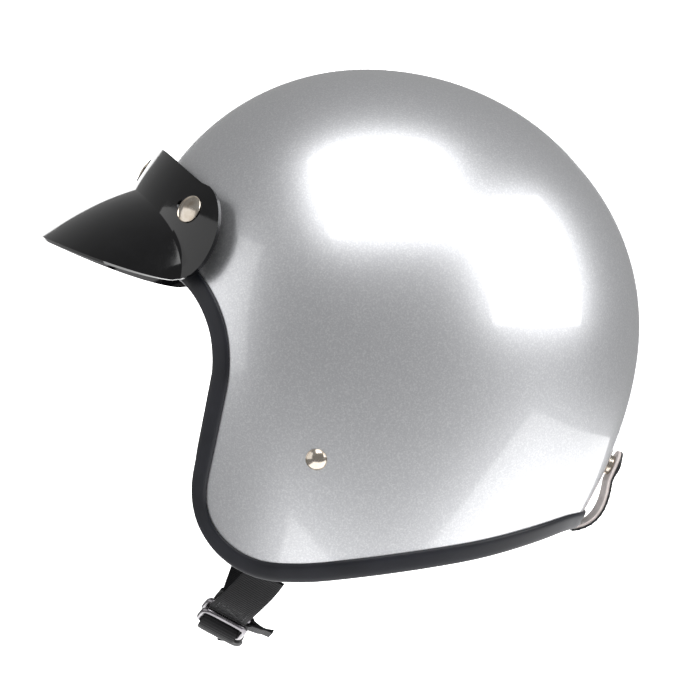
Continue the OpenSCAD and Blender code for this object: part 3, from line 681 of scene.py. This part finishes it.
def woven_webbing(name, dark, pale, warp, weft):
    # Polyester yarn in a rib weave: warp ends every 1.1 mm across the width, weft bars every
    # 1.3 mm along it, both in the strap's own map in millimetres, with a soft yarn sheen.
    material, tree, bsdf, here = start(name, Roughness=0.7, Specular_IOR_Level=0.3, Sheen_Weight=0.12,
                                       Sheen_Roughness=0.4)
    split = add(tree, "SeparateXYZ", None, {"Vector": here["Vector"].node.outputs["UV"]})
    heights = []
    for axis, pitch in (("X", warp), ("Y", weft)):
        turns = add(tree, "Math", {"operation": "MULTIPLY", 1: 2 * math.pi / pitch},
                    {0: split.outputs[axis]})
        heights.append(add(tree, "Math", {"operation": "COSINE"}, {0: turns.outputs[0]}))
    weave = add(tree, "Math", {"operation": "MULTIPLY_ADD", 1: 0.5},
                {0: heights[0].outputs[0], 2: heights[1].outputs[0]})
    fuzz = add(tree, "TexNoise", {"Scale": 1 / (0.5 * mm), "Detail": 3.0}, here)
    total = add(tree, "Math", {"operation": "MULTIPLY_ADD", 1: 0.3},
                {0: weave.outputs[0], 2: fuzz.outputs["Fac"]})
    colour = add(tree, "ValToRGB", {"stops": [(0.15, linear(dark)), (0.95, linear(pale))]},
                 {"Fac": total.outputs[0]})
    bump = add(tree, "Bump", {"Strength": 0.6, "Distance": 0.15 * mm}, {"Height": total.outputs[0]})
    wire(bsdf, Base_Color=colour, Normal=bump)
    return material


def stitches(name, points, normals, body, material):
    """A row of lockstitches laid along a run of points, joined as one piece."""
    length, gap, radius, step = 2.6 * mm, 0.9 * mm, 0.28 * mm, 0.2 * mm
    pieces = []
    line, tops = evenly(points, normals, step)
    every = round((length + gap) / step)
    span = round(length / step)
    for begin in range(0, len(line) - span, every):
        stretch = line[begin:begin + span + 1]

        def thread(u, v, begin=begin, stretch=stretch):
            i = round(v * 6) * (len(stretch) - 1) // 6
            way = (stretch[-1] - stretch[0]).normalized()
            up = tops[begin + i]
            side = way.cross(up).normalized()
            a, swell = 2 * math.pi * round(u * 8) / 8, math.sin(math.pi * (0.08 + 0.84 * v)) ** 0.5
            rise = up * radius * (0.9 * math.sin(math.pi * v) - 0.25)
            return stretch[i] + rise + (side * math.cos(a) + up * math.sin(a)) * radius * swell
        piece = lay(name, 8, 6, thread, seam=True)
        bpy.ops.object.mode_set(mode="EDIT")
        bpy.ops.mesh.select_all(action="DESELECT")
        bpy.ops.mesh.select_non_manifold()
        bpy.ops.mesh.edge_face_add()
        bpy.ops.object.mode_set(mode="OBJECT")
        pieces.append(piece)
    pick(*pieces)
    bpy.ops.object.join()
    row = bpy.context.object
    row.name = row.data.name = name
    bpy.ops.object.shade_smooth()
    row.data.materials.append(material)
    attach(row, body)
    return row


def waxed_thread(name, code, pale):
    # Bonded nylon thread, three plies twisted every 0.9 mm, waxed so that it shines a little.
    material, tree, bsdf, here = start(name, Roughness=0.5)
    ply = add(tree, "TexWave",
              {"Scale": 1 / (0.9 * mm), "Distortion": 1.5, "bands_direction": "DIAGONAL"}, here)
    colour = add(tree, "ValToRGB", {"stops": [(0.2, linear(code)), (0.9, linear(pale))]},
                 {"Fac": ply.outputs["Fac"]})
    bump = add(tree, "Bump", {"Strength": 0.5, "Distance": 0.08 * mm}, {"Height": ply.outputs["Fac"]})
    wire(bsdf, Base_Color=colour, Normal=bump)
    return material


# ---- The chin strap ----
# Each side is riveted inside the shell and comes out under the trim. The left side ends in
# the inner of two D-rings, and the right side runs through both and doubles back on itself.
webbing = woven_webbing("black_rib_webbing", "#060607", "#151518", 1.1, 1.3)
black_thread = waxed_thread("black_bonded_thread", "#101012", "#2c2c30")
web_w, web_t, wire_d = 20 * mm, 1.8 * mm, 3 * mm
anchor_depth, anchor_drop = 6.1, 2.1
rivet_seat, strap_exit = Vector((-32, -63)) * mm, Vector((-59.5, -126)) * mm


def strap_place(t, depth):
    p = rivet_seat + (strap_exit - rivet_seat) * t
    return at_depth(bearing(p.x, p.y), along_curve(p.y), depth * mm)


anchor_t = [-0.12, 0, 0.16, 0.32, 0.48, 0.64, 0.73, 0.78, 0.87, 0.93]
anchor_path = [strap_place(t, anchor_depth + anchor_drop * max(0, min(1, (t - 0.68) / 0.17)))
               for t in anchor_t]
anchor_sides = []
for i, t in enumerate(anchor_t):
    p = rivet_seat + (strap_exit - rivet_seat) * t
    way = (anchor_path[min(9, i + 1)] - anchor_path[max(0, i - 1)]).normalized()
    anchor_sides.append(outward(bearing(p.x, p.y), along_curve(p.y)).cross(way).normalized())


def flipped(points):
    return [Vector((-p.x, p.y, p.z)) for p in points]


for side, turn_over in (("left", lambda p: p), ("right", flipped)):
    anchor = strap("strap_anchor_" + side + "_webbing", turn_over(curve_through(anchor_path, 8)),
                   turn_over(curve_through(anchor_sides, 8)), web_w, web_t, webbing)
    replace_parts(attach(anchor, "helmet"), "strap_anchor_" + side)

hang = strap_place(0.96, anchor_depth + anchor_drop)
hang_across = anchor_sides[9]
bar_across = Vector((0, 0.877, -0.48)).normalized()
ring_mid, ring_depth, ring_gap = Vector((50, -73.5, -145)) * mm, 18 * mm, 5.4 * mm
ring_slope = Vector((-0.88, -0.02, -0.47))
ring_way = (ring_slope - ring_slope.dot(bar_across) * bar_across).normalized()
ring_face = bar_across.cross(ring_way).normalized()
strap_low = Vector((0, -74, -161)) * mm
tail_end = strap_low + Vector((-16, 0, -4.2)) * mm
bar_wrap_r, arc_wrap_r = 2.7 * mm, 5.4 * mm


def wrap(centre, way, r, n):
    turns = [-math.pi / 2 + math.pi * i / n for i in range(n + 1)]
    return [centre + r * (math.cos(a) * way + math.sin(a) * ring_face) for a in turns]


def mixed(a, b, t):
    return (a * (1 - t) + b * t).normalized()


bar_loop = wrap(ring_mid + ring_face * ring_gap / 2, ring_way, bar_wrap_r, 16)
down = bezier(hang, hang + Vector((-9, -5, -9)) * mm, bar_loop[0] - ring_way * 14 * mm, bar_loop[0], 24)
up_again = [bar_loop[-1] - ring_way * 15 * mm * i / 8 for i in range(1, 9)]
left_path = down + bar_loop[1:] + up_again
left_sides = [mixed(hang_across, bar_across, min(1, i / 24)) for i in range(len(left_path))]
left_strap = strap("chin_strap_left_webbing", left_path, left_sides, web_w, web_t, webbing)
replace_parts(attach(left_strap, "chin_strap"), "chin_strap_left")

arc_loop = wrap(ring_mid + ring_way * ring_depth, -ring_way, arc_wrap_r, 20)
right_hang = Vector((-hang.x, hang.y, hang.z))
right_across = Vector((-hang_across.x, hang_across.y, hang_across.z))
rise = bezier(right_hang, right_hang + Vector((9, -5, -9)) * mm, strap_low + Vector((-36, 3, -1)) * mm,
              strap_low, 40)
main_run = bezier(strap_low, strap_low + Vector((10, 0, 0.5)) * mm, arc_loop[-1] + ring_way * 8 * mm,
                  arc_loop[-1], 16)
tail = bezier(arc_loop[0], arc_loop[0] + ring_way * 8 * mm, tail_end + Vector((14, 0, 0)) * mm,
              tail_end, 20)
right_path = rise + main_run[1:] + arc_loop[-2::-1] + tail[1:]
bar_side = -bar_across if right_across.dot(bar_across) < 0 else bar_across
right_sides = [mixed(right_across, bar_side, min(1, i / 40)) for i in range(len(right_path))]
right_strap = strap("chin_strap_right_webbing", right_path, right_sides, web_w, web_t, webbing,
                    round_in=5 * mm)
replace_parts(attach(right_strap, "chin_strap"), "chin_strap_right")


def box_stitch(name, centre, along, across, normal, length, width, body):
    corners = [centre + along * length * i / 2 + across * width * j / 2
               for i, j in ((-1, -1), (1, -1), (1, 1), (-1, 1), (-1, -1), (1, 1))]
    path = [corners[i].lerp(corners[i + 1], j / 6) for i in range(5) for j in range(6)]
    return stitches(name, path, [normal] * len(path), body, black_thread)


sewn = bar_loop[0] - ring_way * 9.5 * mm
box_stitch("left_strap_box_stitch", sewn - ring_face * 0.92 * mm, ring_way, bar_across, -ring_face,
           11 * mm, 15 * mm, "chin_strap")


# ---- The D-rings ----
# Two rings bent from 3 mm steel wire to a D with small corners, the ends swollen where the
# wire was upset and butt welded, then plated in dark nickel.
def wire_ring(name, offset, material):
    half_bar, corner, r = web_w / 2 + 1.5 * mm, 4 * mm, wire_d / 2
    track = [(0, y) for y in (-half_bar, -half_bar * 0.5, 0, half_bar * 0.5, half_bar)]
    for side in (1, -1):
        bends = [(ring_depth - corner + corner * math.sin(a),
                  side * (half_bar - corner + corner * math.cos(a)))
                 for a in [math.pi / 2 * i / 10 for i in range(11)]]
        track += [(ring_depth * 0.3, side * half_bar)] + bends if side > 0 else \
            bends[::-1] + [(ring_depth * 0.3, side * half_bar)]
    centre = ring_mid + ring_face * offset
    line = [centre + ring_way * x + bar_across * y for x, y in track]
    count = len(line)

    def tube(u, v):
        i = round(v * count) % count
        way = (line[(i + 1) % count] - line[i - 1]).normalized()
        side = way.cross(ring_face).normalized()
        swell = 1.13 if i in (0, 4) else 1.0
        a = 2 * math.pi * round(u * 20) / 20
        return line[i] + (side * math.cos(a) + ring_face * math.sin(a)) * r * swell
    ring = finish(lay(name, 20, count, tube, seam=True), 80, Subsurf={"levels": 1, "render_levels": 1})
    ring.data.materials.append(material)
    return ring


dark_nickel = nickel("dark_nickel_wire", "#8a878b", 0.22, "#6d6a6e")
for ring_name, offset in (("d_ring_outer", -ring_gap / 2), ("d_ring_inner", ring_gap / 2)):
    ring = wire_ring(ring_name + "_wire", offset, dark_nickel)
    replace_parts(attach(ring, "chin_strap"), ring_name)

# The strap's free end is held back by a black press stud, and a short tab sewn round the
# inner ring's side pulls the rings open.
end_place = Matrix.Translation(strap_low + Vector((-8, 0, -6.3)) * mm)
end_profile = [(0, 6.0), (1.8, 6.0), (1.8, 1.1), (4.6, 1.0), (5.0, 0.8), (5.0, 0.4), (4.7, 0.12),
               (3.6, 0.0), (0, 0.0)]
black_enamel = nickel("black_enamelled_cap", "#2b2b2e", 0.32, "#1d1d20")
end_snap = turned("strap_end_snap_cap", end_profile, end_place, black_enamel)
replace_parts(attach(end_snap, "chin_strap"), "strap_end_snap")

side_wire = ring_mid + bar_across * (web_w / 2 + 1.5 * mm) + ring_way * 6 * mm + ring_face * ring_gap / 2
tab_turns = [math.radians(a) for a in range(-150, 151, 20)]
tab_loop = [side_wire + 2.3 * mm * (-bar_across * math.cos(a) + ring_face * math.sin(a)) for a in tab_turns]
tab_tip = side_wire + Vector((0, 12, -5.2)) * mm
tab_neck = side_wire + bar_across * 7 * mm
tab_path = [tab_tip + ring_face * 0.5 * mm, tab_neck - ring_face * 0.3 * mm] + tab_loop \
    + [tab_neck + ring_face * 0.3 * mm, tab_tip - ring_face * 0.5 * mm]
release = strap("release_tab_webbing", curve_through(tab_path, 6),
                [ring_way] * (6 * (len(tab_path) - 1) + 1),
                9 * mm, 1.1 * mm, woven_webbing("release_webbing", "#0a0a0c", "#1c1c20", 1.0, 1.1),
                rib=1.1 * mm, ribs=0.08 * mm)
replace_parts(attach(release, "release_tab"), "release_tab")


# ---- The goggle strap tab ----
# A leathercloth tab sewn under the trim at the nape, lined with thick pale suede. It loops
# up over the goggle strap and closes on the rear press stud with a black enamelled cap.
rear_out = outward(*rear_snap)
rear_up = Vector((0, -rear_out.z, rear_out.y))
rear_seat = skin(*rear_snap)
tab_d, leather_t, suede_t, tab_w = 6 * mm, 1 * mm, 1.4 * mm, 16 * mm
tab_end = Vector((0, 109, -108)) * mm
tab_top = rear_seat + rear_out * tab_d + rear_up * 9 * mm
tab_low = rear_seat + rear_out * tab_d - rear_up * 8 * mm
tab_run = [tab_top, tab_top.lerp(tab_low, 0.25), tab_top.lerp(tab_low, 0.5), tab_top.lerp(tab_low, 0.75)] \
    + bezier(tab_low, tab_low + Vector((0, -2, -14)) * mm, tab_end + Vector((0, 14, 1.5)) * mm, tab_end, 24)


def beside(path, by):
    moved = []
    for i, p in enumerate(path):
        way = (path[min(len(path) - 1, i + 1)] - path[max(0, i - 1)]).normalized()
        moved.append(p + Vector((0, way.z, -way.y)) * by)
    return moved


def tab_sheet(name, path, width, thick, material, nose=9 * mm):
    """A flat strip along a path with a rounded nose at its first end."""
    line, sides = evenly(path, [Vector((1, 0, 0))] * len(path), 0.8 * mm)
    last, rounded = len(line) - 1, round(nose / (0.8 * mm))

    def strip(u, v):
        i, e = round(v * last), 2 * u - 1
        into = max(0.0, 1 - i / rounded)
        narrow = math.sqrt(max(0.0, 1 - into ** 2.6)) if into else 1.0
        return line[i] + Vector((width / 2 * e * max(0.02, narrow), 0, 0))
    piece = finish(lay(name, 22, last, strip), 50, Solidify={"thickness": thick, "offset": 0.0},
                   Bevel=rounding(0.3 * mm, 2, 60))
    piece.data.materials.append(material)
    return piece


def leathercloth():
    # Vinyl coated cloth embossed with a pebble grain of about 0.9 mm, satin, with paler
    # rubbed tops to the pebbles.
    material, tree, bsdf, here = start("black_leathercloth", Roughness=0.46)
    pebble = add(tree, "TexVoronoi", {"Scale": 1 / (0.9 * mm), "feature": "SMOOTH_F1"}, here)
    colour = add(tree, "ValToRGB", {"stops": [(0.1, linear("#232326")), (0.8, linear("#121214"))]},
                 {"Fac": pebble.outputs["Distance"]})
    bump = add(tree, "Bump", {"Strength": 0.5, "Distance": 0.15 * mm, "invert": True},
               {"Height": pebble.outputs["Distance"]})
    wire(bsdf, Base_Color=colour, Normal=bump)
    return material


def pale_suede():
    # Split suede in a pinkish bone colour: a short 0.4 mm nap lying in 5 mm brushed patches.
    material, tree, bsdf, here = start("bone_suede", Roughness=0.95, Sheen_Weight=0.3, Sheen_Roughness=0.5)
    nap = add(tree, "TexNoise", {"Scale": 1 / (0.4 * mm), "Detail": 3.0}, here)
    patch = add(tree, "TexNoise", {"Scale": 1 / (5 * mm), "Detail": 2.0}, here)
    tone = add(tree, "Math", {"operation": "MULTIPLY_ADD", 1: 0.5},
               {0: nap.outputs["Fac"], 2: patch.outputs["Fac"]})
    colour = add(tree, "ValToRGB", {"stops": [(0.4, linear("#b9aeaa")), (1.0, linear("#ddd4d0"))]},
                 {"Fac": tone.outputs[0]})
    bump = add(tree, "Bump", {"Strength": 0.5, "Distance": 0.2 * mm}, {"Height": nap.outputs["Fac"]})
    wire(bsdf, Base_Color=colour, Normal=bump)
    return material


leather = leathercloth()
tab = tab_sheet("goggle_tab_leathercloth", beside(tab_run, -leather_t / 2 - 0.05 * mm), tab_w,
                leather_t, leather)
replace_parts(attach(tab, "goggle_tab"), "goggle_tab")
suede = tab_sheet("goggle_tab_suede", beside(tab_run, suede_t / 2 + 0.05 * mm), tab_w - 1 * mm, suede_t,
                  pale_suede())
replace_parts(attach(suede, "goggle_tab"), "goggle_tab_lining")
tab_cap = turned("goggle_tab_cap_dome", domed(7.1, 2.0, 7.25, (2.1, 4.6)), seat(*rear_snap), black_enamel)
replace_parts(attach(tab_cap, "goggle_tab"), "goggle_tab_cap")
rear_socket_profile = [(2.1, 4.55), (5.0, 4.5), (5.35, 4.2), (5.4, 3.6), (5.4, 2.0), (5.3, 1.6), (4.9, 1.4),
                       (4.4, 1.45), (4.15, 1.7), (4.1, 2.2), (4.1, 4.1), (2.1, 4.15), (2.1, 4.55)]
tab_socket = turned("goggle_tab_socket_ring", rear_socket_profile, seat(*rear_snap), warm_nickel)
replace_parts(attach(tab_socket, "goggle_tab"), "goggle_tab_socket")
sewn_in = ((0, -1.5, 0.3), (0, -6, 2), (0, -9.5, 8), (0, -9.5, 15))
anchor_run = curve_through([tab_end + Vector(p) * mm for p in sewn_in], 8)
tab_anchor = tab_sheet("goggle_tab_sewn_end", anchor_run, tab_w, 1.4 * mm, leather, nose=1 * mm)
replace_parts(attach(tab_anchor, "helmet"), "goggle_tab_anchor")
for edge_name, x in (("left", 6.6 * mm), ("right", -6.6 * mm)):
    seam = [p + Vector((x, 0, 0)) for p in beside(tab_run, -leather_t - 0.08 * mm)[6:-1]]
    tops = []
    for i, p in enumerate(seam):
        way = (seam[min(len(seam) - 1, i + 1)] - seam[max(0, i - 1)]).normalized()
        tops.append(Vector((0, -way.z, way.y)))
    stitches("goggle_tab_seam_" + edge_name, seam, tops, "goggle_tab", black_thread)


# ---- The studio ----
# A white table that stops a little in front of the helmet, a white board behind it, two soft
# boxes, one overhead and one behind to the right, and a pale card low in front.
def plain_white(name, glow):
    # Matt white board, lit from within just enough to stay paper white.
    material, tree, bsdf, here = start(name, Roughness=0.9, Emission_Strength=glow,
                                       Emission_Color=(1, 1, 1, 1))
    fibre = add(tree, "TexNoise", {"Scale": 40.0}, here)
    colour = add(tree, "ValToRGB", {"stops": [(0.0, linear("#ececec")), (1.0, linear("#f4f4f4"))]},
                 {"Fac": fibre.outputs["Fac"]})
    wire(bsdf, Base_Color=colour)
    return material


def board(name, corners, glow):
    bpy.ops.object.select_all(action="DESELECT")
    bpy.ops.mesh.primitive_plane_add(size=1)
    panel = bpy.context.object
    panel.name = name
    for point, corner in zip(panel.data.vertices, corners):
        point.co = corner
    panel.data.materials.append(plain_white(name + "_white", glow))
    return panel


floor_z, backdrop_x = -0.76, -1.15
board("floor", [(x, y, floor_z) for y in (-0.8, 2.2) for x in (-2.2, 1.0)], 1.5)
board("backdrop", [(backdrop_x, y, z) for z in (-0.46, 0.45) for y in (-0.5, 0.65)], 1.1)


def from_angle(azimuth, elevation, distance):
    """A place so far off: azimuth from +X towards +Y, and elevation, in degrees."""
    a, e = math.radians(azimuth), math.radians(elevation)
    return Vector((math.cos(e) * math.cos(a), math.cos(e) * math.sin(a), math.sin(e))) * distance


def softbox(name, azimuth, elevation, distance, size, power):
    lamp = bpy.data.lights.new(name, "AREA")
    lamp.shape, lamp.size, lamp.size_y, lamp.energy = "RECTANGLE", size[0], size[1], power
    holder = bpy.data.objects.new(name, lamp)
    holder.location = from_angle(azimuth, elevation, distance)
    holder.rotation_euler = (-holder.location).to_track_quat("-Z", "Y").to_euler()
    holder.visible_camera = False
    bpy.context.collection.objects.link(holder)


softbox("overhead_softbox", 8, 56, 1.3, (1.05, 1.0), 16)
softbox("side_softbox", 63, 21, 1.3, (1.0, 1.0), 12)
softbox("front_card", -80, 10, 1.2, (1.4, 1.0), 5)
world = bpy.data.worlds.new("studio")
bpy.context.scene.world = world
world.use_nodes = True
world.node_tree.nodes["Background"].inputs["Color"].default_value = (1, 1, 1, 1)
world.node_tree.nodes["Background"].inputs["Strength"].default_value = 0.32
bpy.context.scene.view_settings.view_transform = "Standard"

camera = bpy.data.objects.new("camera", bpy.data.cameras.new("camera"))
bpy.context.collection.objects.link(camera)
camera.data.sensor_width, camera.data.lens = 36, 97.04
target = Vector((0, -8.5, -12.8)) * mm
camera.location = target + from_angle(-4, 0.8, 1.0)
camera.rotation_euler = (target - camera.location).to_track_quat("-Z", "Y").to_euler()
bpy.context.scene.camera = camera
